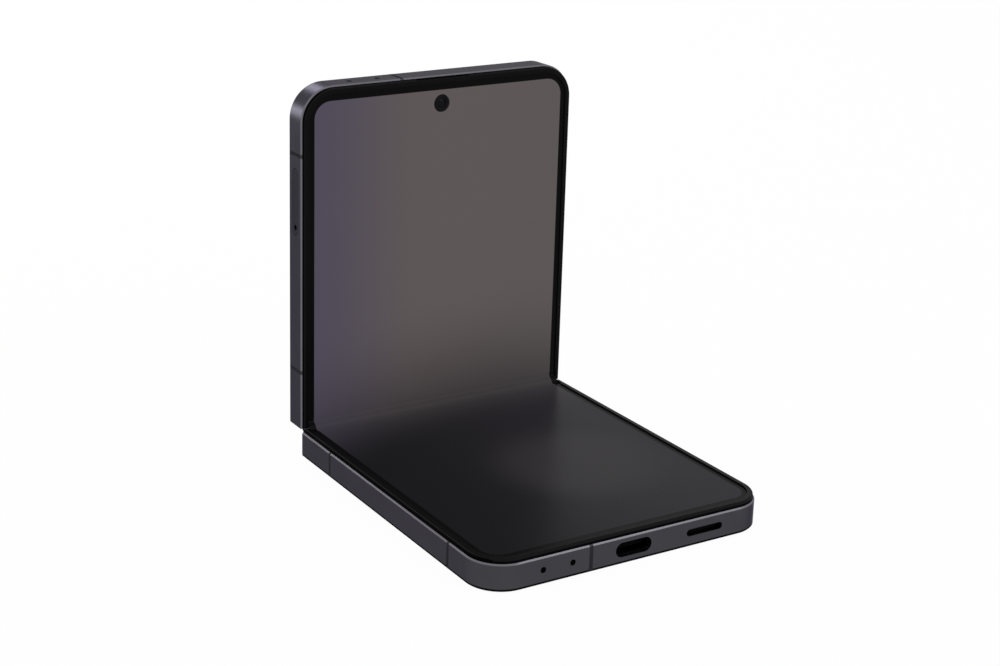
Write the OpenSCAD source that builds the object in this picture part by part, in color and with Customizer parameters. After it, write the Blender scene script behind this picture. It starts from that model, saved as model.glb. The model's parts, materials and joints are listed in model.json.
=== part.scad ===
// Clamshell foldable smartphone: two halves joined by a geared twin-axis hinge.
// Origin: middle of the lower half's back face. The lower half lies flat, the upper half stands.

/* [Body] */
// Length of each half, from the fold line to its end
half_l = 81; // [78:0.2:88]
// Width across both halves
body_w = 71.9; // [70:0.1:78]
// Height of the metal frame's front face above the back
frame_t = 6.15; // [6:0.05:6.3]
// Outer corner radius seen from the front
corner_r = 8; // [6:0.25:10]
// Wall thickness of the frame band
wall_t = 1.6; // [1.4:0.05:1.9]
// Wall thickness beside the hinge
hinge_wall_t = 2.2; // [2:0.1:2.8]
// Chamfer along the frame's edges
edge_c = 0.3; // [0.2:0.05:0.4]
// Thickness of the plate inside each frame
mid_t = 0.6; // [0.5:0.05:0.7]
// Thickness of each back cover
back_t = 0.6; // [0.5:0.05:0.65]
// Distance from the outer edge to the back cover's edge
back_inset = 1.1; // [1:0.05:1.2]
// Distance from the fold line to the back cover's edge
back_start = 2.9; // [2.8:0.05:3.4]
// Distance the back cover stands proud of the frame
back_proud = 0.1; // [0.05:0.05:0.2]

/* [Display] */
// Height of the display's surface above the back
disp_h = 6.95; // [6.9:0.05:7]
// Thickness of the flexible display
disp_t = 0.5; // [0.4:0.05:0.55]
// Distance from the outer edge to the display's edge
disp_inset = 1.4; // [1.35:0.05:1.5]
// Thickness of the support plates under the display
plate_t = 0.2; // [0.15:0.05:0.2]
// Length of display on each side of the fold that bends
bend_l = 3; // [2.6:0.1:3.4]
// Top of the bezel rim above the display's surface
rim_rise = 0.3; // [0.2:0.05:0.35]
// Distance from the outer edge to the rim
rim_inset = 0.4; // [0.35:0.05:0.5]
// Width of the lip that holds the display's edge
rim_lip_w = 0.3; // [0.2:0.05:0.6]
// Rounding of the rim's outer edge
rim_round = 0.35; // [0.2:0.05:0.4]

/* [Hinge] */
// Distance between the two hinge axes
axis_gap = 3; // [2.9:0.05:3.1]
// Depth of the hinge axes below the display's surface
axis_depth = 1; // [0.95:0.05:1.05]
// Thickness of the frame's lip over the spine
lip_t = 0.75; // [0.7:0.05:0.85]
// Clearance between the spine and the halves
spine_gap = 0.15; // [0.1:0.01:0.2]
// Wall thickness of the spine cover
spine_wall = 0.5; // [0.4:0.05:0.6]
// Gap from the fold line to the end of each half
end_gap = 0.1; // [0.08:0.01:0.15]
// Rounding of the halves' back corners at the fold
fold_round = 0.7; // [0.3:0.05:0.7]
// Thickness of the hinge beam beyond the spine's bay
beam_t = 0.8; // [0.6:0.1:1]
// Inner radius of the curved hinge arms
arm_in_r = 2.6; // [2.5:0.05:2.7]
// Radial thickness of the curved hinge arms
arm_t = 0.9; // [0.7:0.05:1]
// Width of each curved hinge arm
arm_w = 2; // [1.6:0.1:2.2]
// Thickness of the flat part of each arm
arm_plate_t = 0.8; // [0.6:0.05:0.85]
// Running clearance of arms and shafts
run_gap = 0.05; // [0.03:0.01:0.08]
// Distance from the side to the lower half's curved arms
arm_side = 6.35; // [6:0.05:6.5]
// Step from a lower arm to the upper arm beside it
arm_step = 2.8; // [2.6:0.1:3]
// Distance from the fold line to the wing plates' pivots
wing_v = 6.3; // [6:0.05:6.35]
// Distance from the fold line to the wing plates' free edges
wing_start = 0.6; // [0.5:0.05:0.9]
// Tilt of the wing plates from open to closed, in degrees
wing_tilt = 8; // [6:0.5:9]

/* [Sync gears] */
// Module of the sync gears
gear_m = 0.2; // [0.19:0.005:0.21]
// Teeth on a full sector gear
sector_n = 19; // [18:1:20]
// Teeth on an idler pinion
idler_n = 11; // [10:1:11]
// Thickness of each sector gear
sector_w = 1; // [0.8:0.1:1.1]
// Distance from the side to the lower half's sector gears
sector_side = 11.95; // [11.8:0.05:12.05]
// Step from a lower sector gear to the upper one beside it
sector_step = 1.4; // [1.3:0.1:1.5]
// Radius of the idler shafts
shaft_r = 0.4; // [0.35:0.01:0.45]
// Wire diameter of the detent springs
wire_d = 0.28; // [0.2:0.02:0.3]
// Mean radius of the detent springs
coil_r = 0.85; // [0.8:0.01:0.86]
// Turns of each detent spring
coil_turns = 6; // [4:1:7]
// Length of each detent spring
coil_l = 4.8; // [4.4:0.1:5]

/* [Ports] */
// Height of the ports above the back
port_h = 3.3; // [3.2:0.05:3.4]
// Inner width of the connector
usb_w = 8.34; // [8.3:0.02:8.4]
// Inner height of the connector
usb_h = 2.56; // [2.5:0.02:2.6]
// Shell thickness of the connector
usb_wall = 0.3; // [0.25:0.05:0.35]
// Depth of the connector's shell
usb_depth = 7.2; // [6.8:0.1:7.6]
// Distances from the middle to the microphone holes
mic_x = [15.2, 22.4];
// Radius of the microphone holes
mic_r = 0.67; // [0.4:0.01:0.7]
// Distance from the middle to the speaker slot's middle
speaker_x = 18.4; // [18:0.1:19]
// Length of the speaker slot
speaker_slot_l = 9.4; // [9:0.1:10]
// Height of the speaker slot
speaker_slot_h = 1.6; // [1.2:0.05:1.7]
// Width of the antenna bands
band_w = 0.9; // [0.7:0.05:1.1]
// Distance from the middle to the lower half's end band
end_band_x = 10.7; // [10:0.05:11.5]
// Distance from the middle to the upper half's end band
top_band_x = 10.2; // [9.5:0.1:11]
// Distance from the fold line to the bands near the fold
fold_band_v = 14; // [13:0.1:14.5]
// Distance from the fold line to the upper half's far bands
far_band_v = 65.4; // [65:0.1:67]
// Distance from the fold line to the lower half's far bands
front_band_v = 66.1; // [65:0.1:67]
// Length of the earpiece slit
ear_slit_l = 14; // [12:0.5:15]
// Width of the earpiece slit
ear_slit_w = 0.2; // [0.2:0.05:0.35]

/* [Side parts] */
// Length of the card tray's head
tray_l = 15.6; // [15:0.1:16]
// Height of the card tray's head
tray_h = 2.6; // [2.4:0.05:2.8]
// Distance from the fold line to the tray's middle
tray_v = 54.3; // [54:0.1:56]
// Depth of the card tray inside the body
tray_depth = 17; // [16:0.1:18]
// Radius of the tray's eject hole
eject_r = 0.65; // [0.4:0.01:0.7]
// Distance from the eject hole to the tray's middle
eject_off = 6; // [5.9:0.05:6.4]
// Length of the power key
power_l = 13; // [12:0.1:14]
// Distance from the fold line to the power key's middle
power_v = 30; // [29:0.1:31]
// Length of the volume key
volume_l = 22; // [20:0.1:22.4]
// Distance from the fold line to the volume key's middle
volume_v = 51.5; // [51:0.1:52.5]
// Height of the side keys
key_h = 2.2; // [2:0.05:2.4]
// Distance the volume key stands proud
key_proud = 0.4; // [0.35:0.05:0.5]
// Travel of the side keys
key_travel = 0.25; // [0.2:0.01:0.3]
// Clearance round keys and tray
slot_gap = 0.1; // [0.06:0.01:0.12]

/* [Cameras] */
// Radius of the front camera's window
selfie_r = 2.05; // [1.8:0.05:2.2]
// Distance from the end to the front camera
selfie_end = 6.5; // [6:0.05:7]
// Outer radius of the rear camera rings
ring_r = 6.2; // [5.8:0.05:6.4]
// Distance the camera rings stand proud of the back
ring_proud = 1.1; // [0.8:0.05:1.4]
// Distance between the rear cameras
lens_pitch = 14.2; // [13.6:0.1:15]
// Distance from the side to the outer rear camera
lens_side = 11; // [10.5:0.1:12]
// Distance from the end to the rear cameras
lens_end = 11; // [10.5:0.1:12]

/* [Inside] */
// Length of the lower battery along the half
battery_l = 42; // [38:0.5:43]
// Distance from the side to the batteries
battery_side = 5.95; // [5.2:0.05:8]
// Thickness of both batteries
battery_t = 4; // [3.6:0.05:4.1]
// Distance from the fold line to the batteries
battery_v = 15; // [14.6:0.1:15.5]
// Length of the upper battery along the half
small_battery_l = 25; // [22:0.5:26]
// Outer radius of the charging coil
charge_r = 19; // [17:0.5:20]
// Width of the charging coil's winding
charge_w = 9; // [7:0.5:10]
// Radius of the vibration motor
motor_r = 5; // [4:0.1:5]
// Height of the vibration motor
motor_h = 3.2; // [2.8:0.1:3.4]
// Length of the charging board across the half
low_board_l = 38; // [34:0.5:38]
// Length of the earpiece across the half
ear_l = 16; // [15:0.5:18]
// Radius of the rear camera modules
module_r = 5.2; // [4.8:0.1:5.2]
// Radius of the flash
flash_r = 1.8; // [1.5:0.1:2]
// Thickness of the circuit boards
board_t = 0.7; // [0.6:0.05:0.8]
// Radius of the small screws' shanks
screw_r = 0.4; // [0.35:0.01:0.45]
// Clearance round pieces seated inside
seat_gap = 0.05; // [0.02:0.01:0.06]

/* [Hidden] */
$fn = 48;

// Half the opening that is missing from flat: each hinge axis has turned this far from flat
rest_turn = 45;
closed_turn = 90;

// Levels above the back, common to both halves
half_w = body_w / 2;
frame_lo = back_proud;
plate_lo = disp_h - disp_t - plate_t;
mid_lo = plate_lo - mid_t;
arm_lo = mid_lo - arm_plate_t;
rim_top = disp_h + rim_rise;

// Hinge: every half turns about an axis at (axis_v, axis_h)
axis_v = axis_gap / 2;
axis_h = disp_h - axis_depth;
spine_r = axis_h - lip_t - spine_gap;
bay_r = spine_r + spine_gap;
spine_in_r = spine_r - spine_wall;
bay_v = axis_v + bay_r;
mid_v = bay_v + seat_gap;
spine_half = half_w - hinge_wall_t - spine_gap;
arm_x = half_w - arm_side;
sector_x = half_w - sector_side;
beam_end = bay_v + beam_t;
end_r = axis_v - end_gap;

// Levels in the spine, measured from the axes
arm_level = arm_lo - axis_h;
spine_edge = arm_level - spine_gap;
bracket_top = spine_edge - spine_gap;
lip_start = 0.3;
arm_out_r = arm_in_r + arm_t;
arm_tail = acos(-bracket_top / arm_in_r) - 3;
arm_lead = 60;
arm_drop = 1.2;

// Gears: the sectors turn about the hinge axes, the idlers lie under them
sector_r = gear_m * sector_n / 2;
idler_r = gear_m * idler_n / 2;
addendum = 0.8 * gear_m;
dedendum = 1.05 * gear_m;
backlash = 0.2 * gear_m;
pressure_angle = 25;
idler_u = idler_r;
idler_s = -sqrt(pow(sector_r + idler_r, 2) - pow(axis_v - idler_u, 2));
sector_in_r = sector_r - dedendum - 0.5;
mesh_angle = atan((axis_v - idler_u) / -idler_s);
sector_end = closed_turn + mesh_angle + 4;
sector_start = -12;
sector_root = -85;
mesh_gap = 0.15;

// Places along the hinge
bay_side = 0.2;
bay_x1 = sector_x + sector_w / 2 + bay_side;
bay_x0 = sector_x - sector_step - sector_w / 2 - bay_side;
cheek_t = 0.7;
spring_x1 = bay_x0 - cheek_t;
cam_t = 0.5;
lobe_t = 0.3;
lobe_turn = 15;
follower_t = 0.8;
follower_x = spring_x1 - run_gap - cam_t - 2 * lobe_t - run_gap - follower_t;
spring_x0 = follower_x - coil_l;
bracket_x0 = spring_x0 - cheek_t;
bracket_x1 = arm_x + arm_w / 2 + cheek_t + run_gap;
cam_r = idler_r - 0.1;

// Screws that hold the arms
arm_foot_l = 5.5;
arm_foot_w = 4.4;
sync_foot_w = 2.6;
foot_v = mid_v + 0.1;
foot_neck = 0.5;
foot_end = foot_v + arm_foot_l;
screw_v = foot_v + 0.62 * arm_foot_l;
head_r = 0.75;
head_t = 0.4;
hole_gap = 0.02;
thread_end = 0.1;
pocket_side = 1;
pocket_depth = 0.9;

// Side keys and their switches
flange_t = 0.35;
flange_edge = 0.5;
key_edge = 0.15;
rock_gap = key_travel + seat_gap;
switch_t = 0.8;
switch_l = 3;
switch_h = 2;
strip_t = 0.3;
strip_end = 4;

// Inside places
inner_gap = 0.2;
part_gap = 1;
inner_v = half_l - wall_t - inner_gap;
ceiling = mid_lo - seat_gap;
floor_h = back_t + seat_gap;
coil_t = 0.4;
battery_w = body_w - 2 * battery_side;
battery_h = floor_h + coil_t + 0.1;
board_v = battery_v + battery_l + part_gap;
upper_board_v = battery_v + small_battery_l + part_gap;
usb_back = 0.9;
ear_h = 3.6;
ear_t = 1.3;
usb_v = half_l - usb_back - usb_depth;
mic_l = 3;
mic_h = 2;
mic_t = 1;
socket_t = 0.35;
socket_h = 1.9;
socket_x0 = -half_w + wall_t + inner_gap;
socket_x1 = socket_x0 + tray_depth - 0.4;
tray_seat = 0.3;
board_x0 = socket_x1 + 0.8;
board_x1 = half_w - wall_t - 4;
shield_t = 1.35;

// Rear cameras
camera_gap = 0.3;
ring_edge = 0.3;
ring_face = 0.9;
ring_seat = 0.65;
window_t = 0.6;
lens_v = half_l - lens_end;
lens_xs = [half_w - lens_side, half_w - lens_side - lens_pitch];
flash_x = lens_xs[1] - 11;

// Arms and gears of each half across the fold
lower_xs = [arm_x, sector_x];
upper_xs = [arm_x - arm_step, sector_x - sector_step];

// ---------------------------------------------------------------- placing

// Puts a part drawn in half coordinates (across, from the fold, height) on the lower half
module in_lower() translate([0, half_l / 2, 0]) mirror([0, 1, 0]) children();

// Turns about the X axis through (v, h)
module turn_about(v, h, a) translate([0, v, h]) rotate([a, 0, 0]) translate([0, -v, -h]) children();

// Puts a part drawn in spine coordinates (across, from the middle, above the axes) in place
module in_spine()
  translate([0, half_l / 2, 0]) turn_about(-axis_v, axis_h, rest_turn)
    translate([0, 0, axis_h]) children();

// Puts a part drawn in half coordinates on the upper half
module in_upper()
  translate([0, half_l / 2, 0]) turn_about(-axis_v, axis_h, rest_turn)
    turn_about(axis_v, axis_h, rest_turn) children();

// Extrudes a (v, h) section along X, about the point x
module along_x(x, w) translate([x, 0, 0]) rotate([90, 0, 90]) translate([0, 0, -w / 2])
  linear_extrude(w) children();

module both_sides() for (s = [0, 1]) mirror([s, 0, 0]) children();

// ---------------------------------------------------------------- shared shapes

// Outline of a half seen from the front, shrunk by inset, from start to its far end
module half_plan(inset, start) {
  w = half_w - inset;
  l = half_l - inset;
  r = corner_r - inset;
  translate([-w, start]) square([2 * w, l - r - start]);
  translate([-(w - r), start]) square([2 * (w - r), l - start]);
  for (s = [-1, 1]) translate([s * (w - r), l - r]) circle(r);
}

module slab(inset, start, lo, t) translate([0, 0, lo]) linear_extrude(t) half_plan(inset, start);

// Sweeps a (depth from the edge, height) profile along both sides and round the far end
module edge_sweep(start) {
  side_l = half_l - corner_r - start;
  end_l = body_w - 2 * corner_r;
  both_sides() {
    translate([half_w, start + side_l, 0]) rotate([90, 0, 0]) linear_extrude(side_l)
      mirror([1, 0]) children();
    translate([half_w - corner_r, half_l - corner_r, 0]) rotate_extrude(angle = 90)
      translate([corner_r, 0]) mirror([1, 0]) children();
  }
  translate([-end_l / 2, half_l, 0]) rotate([90, 0, 90]) linear_extrude(end_l)
    mirror([1, 0]) children();
}

module frame_profile() polygon([
  [0, frame_lo + edge_c], [edge_c, frame_lo], [back_inset, frame_lo], [back_inset, back_t],
  [wall_t, back_t], [wall_t, frame_t], [edge_c, frame_t], [0, frame_t - edge_c]
]);

// Circle section of radius r about the hinge axis, in half coordinates
module axis_disc(r) translate([axis_v, axis_h]) circle(r);

// Block from the fold to depth l, its back corner rounded
module fold_block(l, top) {
  translate([end_gap + fold_round, frame_lo]) square([l - fold_round, top - frame_lo]);
  translate([end_gap, frame_lo + fold_round]) square([l, top - frame_lo - fold_round]);
  translate([end_gap + fold_round, frame_lo + fold_round]) circle(fold_round);
}

// Section of a half beside the hinge: its end is rounded about the axis on the display side
module end_section(top) {
  intersection() {
    fold_block(bay_v, top);
    union() {
      axis_disc(end_r);
      translate([axis_v, 0]) square([bay_v, top]);
      square([axis_v, axis_h]);
    }
  }
}

// Metal frame of one half: band, hinge beam, inner plate
module half_frame() {
  difference() {
    union() {
      edge_sweep(bay_v) frame_profile();
      slab(disp_inset, mid_v, mid_lo, mid_t);
      // hinge beam behind the spine
      difference() {
        along_x(0, body_w - 2 * edge_c) fold_block(beam_end, mid_lo + frame_lo);
        along_x(0, body_w + 1) bay_section();
      }
      // side walls beside the hinge
      both_sides() hinge_wall();
    }
    slab(back_inset, back_start, -1, back_t + 1);
    arm_pockets();
  }
}

// Room for the spine in a half, in section
module bay_section() {
  axis_disc(bay_r);
  translate([0, lip_t]) square([axis_v, bay_r]);
}

// Wall beside the hinge, chamfered like the band
module hinge_wall() {
  intersection() {
    along_x(half_w - hinge_wall_t / 2, hinge_wall_t) end_section(frame_t);
    translate([half_w, bay_v + 1, 0]) rotate([90, 0, 0]) linear_extrude(bay_v + 1)
      mirror([1, 0]) polygon([
        [0, frame_lo + edge_c], [edge_c, frame_lo], [hinge_wall_t, frame_lo],
        [hinge_wall_t, frame_t], [edge_c, frame_t], [0, frame_t - edge_c]
      ]);
  }
}

// Room in the hinge beam for the arms' feet
module arm_pockets() {
  both_sides() translate([bracket_x0 - pocket_side, axis_v + 1, arm_lo - pocket_depth]) cube([
    half_w - hinge_wall_t - bracket_x0 + pocket_side - 0.1, foot_end - axis_v + 1,
    mid_lo - arm_lo + pocket_depth
  ]);
}

// Screw holes through the inner plate above the arms' feet
module foot_holes(xs) both_sides() for (x = xs)
  translate([x, screw_v, mid_lo - 1]) cylinder(r = screw_r + hole_gap, h = mid_t + 1 - thread_end);

function bezel_arc(r, n) = [for (i = [0 : n]) let (a = 90 * i / n) [r - r * cos(a), r * sin(a)]];

// Raised rim round the display
module bezel_profile() {
  r = rim_round;
  w = disp_inset - seat_gap - rim_inset;
  lip_lo = disp_h + seat_gap;
  polygon(concat(
    [[rim_inset + w, frame_t], [rim_inset, frame_t]],
    [for (p = bezel_arc(r, 5)) [rim_inset + p[0], rim_top - r + p[1]]],
    [[rim_inset + w + rim_lip_w, rim_top], [rim_inset + w + rim_lip_w, lip_lo], [rim_inset + w, lip_lo]]
  ));
}

module half_bezel() {
  difference() {
    edge_sweep(end_gap) bezel_profile();
    // beside the bend the rim has no lip
    translate([-half_w + disp_inset - seat_gap, -1, disp_h - 1])
      cube([2 * (half_w - disp_inset + seat_gap), bend_l + 1 + lip_start, 2]);
    // the fold end is round about the hinge axis
    difference() {
      along_x(0, body_w + 1) translate([-1, frame_t - 1]) square([axis_v + 1, 4]);
      along_x(0, body_w + 2) axis_disc(end_r - 0.05);
    }
  }
}

// Plastic bands that cut through the frame's band near the fold
module side_band(v) translate([half_w - wall_t - 0.4, v - band_w / 2, -1])
  cube([wall_t + 1, band_w, frame_t + 2]);

module end_band(x) translate([x - band_w / 2, half_l - wall_t - 0.4, -1])
  cube([band_w, wall_t + 1, frame_t + 2]);

module lower_bands() {
  both_sides() {
    side_band(fold_band_v);
    side_band(front_band_v);
  }
  end_band(-end_band_x);
}

module upper_bands() {
  both_sides() {
    side_band(fold_band_v);
    side_band(far_band_v);
  }
  end_band(-top_band_x);
}

module band_solid() intersection() {
  edge_sweep(bay_v) frame_profile();
  children();
}

// Hole with round ends, length along X, drilled along Y through the end wall
module end_slot(x, l, h, depth) translate([x, half_l + 1, port_h]) rotate([90, 0, 0])
  linear_extrude(depth + 1) stadium(l, h);

module stadium(l, h) {
  square([l - h, h], center = true);
  for (s = [-1, 1]) translate([s * (l - h) / 2, 0]) circle(h / 2);
}

module mic_holes() for (x = mic_x) translate([-x, half_l + 1, port_h]) rotate([90, 0, 0])
  cylinder(r = mic_r, h = wall_t + 1.3);

// Slit behind the rim that opens into the space of the earpiece
module ear_slit() {
  edge = half_l - rim_inset - ear_slit_w;
  translate([-ear_slit_l / 2, edge, ear_h]) cube([ear_slit_l, ear_slit_w, rim_top]);
  translate([-ear_slit_l / 2, half_l - wall_t - 0.1, ear_h])
    cube([ear_slit_l, edge - half_l + wall_t + 0.2, 2 * ear_slit_w]);
}

// ---------------------------------------------------------------- display

// Weight of the spine's turn at a share t of the bend, smooth at both ends
function ease(t) = t * t * (3 - 2 * t);

// Point of the bending display at share t and height h, turned about the hinge axis
function bend_point(t, h) = let (
    a = ease(t) * rest_turn,
    dv = bend_l * (1 - t) - axis_v,
    dh = h - axis_h
  ) [axis_v + dv * cos(a) + dh * sin(a), axis_h - dv * sin(a) + dh * cos(a)];

module display_bend() {
  steps = 16;
  along_x(0, body_w - 2 * disp_inset) polygon(concat(
    [for (i = [0 : steps]) bend_point(i / steps, disp_h)],
    [for (i = [steps : -1 : 0]) bend_point(i / steps, disp_h - disp_t)]
  ));
}

module display_panel() slab(disp_inset, bend_l, disp_h - disp_t, disp_t);

module support_plate() slab(disp_inset + 0.8, mid_v, plate_lo, plate_t);

// Plate under the bend, hinged at its outer edge and tilted half way at rest
module wing_plate() {
  r = plate_t / 2;
  h = plate_lo + r;
  turn_about(wing_v, h, wing_tilt / 2) difference() {
    along_x(0, 2 * (spine_half - 0.3)) {
      translate([wing_v, h]) circle(r, $fn = 24);
      translate([wing_start, plate_lo]) square([wing_v - wing_start, plate_t]);
    }
    both_sides() translate([bay_x0 - 0.1, wing_start - 1, plate_lo - 1])
      cube([bay_x1 - bay_x0 + 0.2, axis_v + sector_r - wing_start + 1.6, 3]);
  }
}

// ---------------------------------------------------------------- hinge

// Pie slice from angle a0 to a1, measured from straight down towards the fold
module slice(a0, a1) {
  r = 9;
  n = ceil((a1 - a0) / 45);
  translate([axis_v, axis_h]) polygon(concat([[0, 0]],
    [for (i = [0 : n]) let (a = a0 + (a1 - a0) * i / n) [-r * sin(a), -r * cos(a)]]));
}

module ring_sector(r0, r1, a0, a1) intersection() {
  difference() {
    axis_disc(r1);
    axis_disc(r0);
  }
  slice(a0, a1);
}

// Flat foot of an arm, from v0 out to the foot's end, with its screw hole
module arm_foot(x, neck_w, foot_w, v0) difference() {
  union() {
    translate([x - neck_w / 2, v0, arm_lo]) cube([neck_w, foot_v + foot_neck - v0, arm_plate_t]);
    translate([x - foot_w / 2, foot_v, arm_lo]) cube([foot_w, arm_foot_l, arm_plate_t]);
  }
  translate([x, screw_v, arm_lo - 1]) cylinder(r = screw_r + hole_gap, h = arm_plate_t + 2);
}

// Curved arm that slides in the bracket's channel
module rail_arm(x) {
  arm_root = axis_v + sqrt(arm_in_r * arm_in_r - pow(arm_level + arm_plate_t, 2));
  along_x(x, arm_w) ring_sector(arm_in_r, arm_out_r, -arm_lead, arm_tail);
  difference() {
    union() {
      arm_foot(x, arm_w, arm_foot_w, arm_root + seat_gap);
      along_x(x, arm_w) translate([axis_v + 1, arm_lo - arm_drop])
        square([arm_out_r - 1, arm_drop + arm_plate_t]);
    }
    along_x(x, arm_w + 1) axis_disc(arm_in_r);
    // clear below the foot, outside the curved part
    along_x(x, arm_w + 1) difference() {
      translate([axis_v, arm_lo - 3]) square([arm_out_r + 3, 3]);
      axis_disc(arm_out_r);
    }
  }
}

// Involute flank point at radius r, as [angle from the base, radius]
function inv(r, rb) = r <= rb ? 0 : sqrt(r * r / (rb * rb) - 1) * 180 / PI - acos(rb / r);

// Half the tooth's angle at radius r
function tooth_half(n, r) = let (
    rp = gear_m * n / 2,
    rb = rp * cos(pressure_angle),
    half_pitch = 90 / n - backlash / 2 / rp * 180 / PI
  ) half_pitch + inv(rp, rb) - inv(r, rb);

// Outline of a gear with n teeth, one tooth centred on the angle a0
module gear_outline(n, a0) {
  rp = gear_m * n / 2;
  radii = [rp - dedendum, rp - addendum / 2, rp, rp + addendum / 2, rp + addendum];
  polygon([for (k = [0 : n - 1], side = [-1, 1], i = [0 : 4]) let (
      j = side < 0 ? i : 4 - i,
      a = a0 + 360 * k / n + side * tooth_half(n, radii[j])
    ) radii[j] * [cos(a), sin(a)]]);
}

// Angle of the second gear that meshes with the first along the direction d
function mesh_phase(d, a1, n1, n2) = d + 180 + (0.5 - (a1 - d) * n1 / 360) * 360 / n2;

// Gear phases in the spine at rest: lower sector, lower idler, upper idler, upper sector
lower_axis = [-axis_v, 0];
upper_axis = [axis_v, 0];
lower_idler = [-idler_u, idler_s];
upper_idler = [idler_u, idler_s];
function direction(p, q) = atan2(q[1] - p[1], q[0] - p[0]);
phase_a = direction(lower_axis, lower_idler);
phase_b = mesh_phase(direction(lower_axis, lower_idler), phase_a, sector_n, idler_n);
phase_c = mesh_phase(direction(lower_idler, upper_idler), phase_b, idler_n, idler_n);
phase_d = mesh_phase(direction(upper_idler, upper_axis), phase_c, idler_n, sector_n);

// Sector gear on an arm, one tooth centred on the angle a0 of the half's (v, h) plane
module sync_arm(x, a0) {
  root_r = sector_r - dedendum;
  along_x(x, sector_w) {
    intersection() {
      difference() {
        translate([axis_v, axis_h]) gear_outline(sector_n, a0);
        axis_disc(sector_in_r);
      }
      slice(sector_start, sector_end);
    }
    ring_sector(sector_in_r, root_r, sector_root, 0);
  }
  difference() {
    arm_foot(x, sector_w, sync_foot_w, axis_v + sector_in_r / 2);
    along_x(x, sector_w + 1) axis_disc(sector_in_r);
  }
}

// Section of the spine about both axes, r round each axis, below the level top
module spine_section(r, top) intersection() {
  union() {
    for (s = [-1, 1]) translate([s * axis_v, 0]) circle(r);
    translate([-axis_v, -r]) square([2 * axis_v, r]);
  }
  translate([-axis_v - r - 1, -r - 1]) square([2 * (axis_v + r + 1), r + 1 + top]);
}

module bracket() difference() {
  w = bracket_x1 - bracket_x0;
  mid = (bracket_x0 + bracket_x1) / 2;
  along_x(mid, w) spine_section(spine_in_r - seat_gap, bracket_top);
  channel(arm_x, -1);
  channel(arm_x - arm_step, 1);
  // open bay round the sector gears
  bay_half = axis_v + sector_r + addendum + 0.4;
  translate([bay_x0, -bay_half, idler_s - idler_r - addendum - mesh_gap])
    cube([bay_x1 - bay_x0, 2 * bay_half, axis_h]);
  // open bay round the cams and springs
  translate([spring_x0, -idler_u - cam_r - mesh_gap, idler_s - cam_r - 0.12])
    cube([spring_x1 - spring_x0, 2 * (idler_u + cam_r + mesh_gap), axis_h]);
  for (s = [-1, 1]) translate([bracket_x0 - 1, s * idler_u, idler_s]) rotate([0, 90, 0])
    cylinder(r = shaft_r + run_gap, h = bay_x1 + cheek_t - bracket_x0 + 1);
}

// Curved channel about one hinge axis
module channel(x, side) along_x(x, arm_w + 2 * run_gap) translate([side * axis_v, 0]) difference() {
  circle(arm_out_r + run_gap);
  circle(arm_in_r - run_gap);
}

// Long pinion with its shaft and detent cam
module idler(side, phase) translate([0, side * idler_u, idler_s]) {
  gear_l = bay_x1 - bay_x0 - 2 * run_gap;
  along_x((bay_x0 + bay_x1) / 2, gear_l) gear_outline(idler_n, phase);
  x_shaft(bracket_x0 + 2 * run_gap, bay_x1 + cheek_t - run_gap, shaft_r);
  cam_x = spring_x1 - run_gap - cam_t;
  x_shaft(cam_x, cam_x + cam_t, cam_r);
  lobes(cam_x - lobe_t, side * lobe_turn);
}

module x_shaft(x0, x1, r) translate([x0, 0, 0]) rotate([0, 90, 0]) cylinder(r = r, h = x1 - x0);

// Three raised cam lobes that stand on the disc at x
module lobes(x, a0) along_x(x + lobe_t / 2, lobe_t) intersection() {
  difference() {
    circle(cam_r);
    circle(shaft_r + 0.1);
  }
  for (k = [0 : 2]) rotate(a0 + 120 * k) polygon([[0, 0], [2, -0.9], [2, 0.9]]);
}

module follower() {
  side_w = idler_u + cam_r;
  difference() {
    along_x(follower_x + follower_t / 2, follower_t)
      translate([-side_w, idler_s - cam_r]) square([2 * side_w, 2 * cam_r]);
    for (s = [-1, 1]) translate([follower_x - 1, s * idler_u, idler_s]) rotate([0, 90, 0])
      cylinder(r = shaft_r + run_gap, h = follower_t + 2);
  }
  for (s = [-1, 1]) translate([0, s * idler_u, idler_s]) lobes(follower_x + follower_t, s * lobe_turn);
}

// Closed tube swept along a helix about the X axis
module spring() {
  sides = 6;
  rings = 10 * coil_turns;
  pitch = (coil_l - wire_d - 2 * seat_gap) / coil_turns;
  function ring_point(i, k) = let (
      a = 360 * i * coil_turns / rings,
      b = 360 * k / sides,
      r = coil_r + wire_d / 2 * cos(b)
    ) [wire_d / 2 + seat_gap + pitch * coil_turns * i / rings + wire_d / 2 * sin(b), r * cos(a), r * sin(a)];
  points = [for (i = [0 : rings], k = [0 : sides - 1]) ring_point(i, k)];
  walls = [for (i = [0 : rings - 1], k = [0 : sides - 1]) let (n = (k + 1) % sides)
    [i * sides + k, i * sides + n, (i + 1) * sides + n, (i + 1) * sides + k]];
  ends = [[for (k = [sides - 1 : -1 : 0]) k], [for (k = [0 : sides - 1]) rings * sides + k]];
  translate([spring_x0, 0, 0]) polyhedron(points, concat(walls, ends));
}

// ---------------------------------------------------------------- lower half

module lower_frame() color("#4a484e") in_lower() difference() {
  half_frame();
  lower_bands();
  mic_holes();
  shell_gap = usb_wall + seat_gap;
  end_slot(0, usb_w + 2 * shell_gap, usb_h + 2 * shell_gap, wall_t + 0.5);
  end_slot(speaker_x, speaker_slot_l, speaker_slot_h, wall_t + 0.5);
  foot_holes(lower_xs);
}

module back_plate() slab(back_inset + seat_gap, back_start + seat_gap, 0, back_t);

module lower_back_cover() color("#3e3d42") in_lower() back_plate();

module lower_bezel() color("#151515") in_lower() half_bezel();

module lower_antenna_bands() color("#37363a") in_lower() band_solid() lower_bands();

module lower_display() color("#1c1b1e") in_lower() display_panel();

module lower_display_bend() color("#1c1b1e") in_lower() display_bend();

module lower_support_plate() color("silver") in_lower() support_plate();

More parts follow.
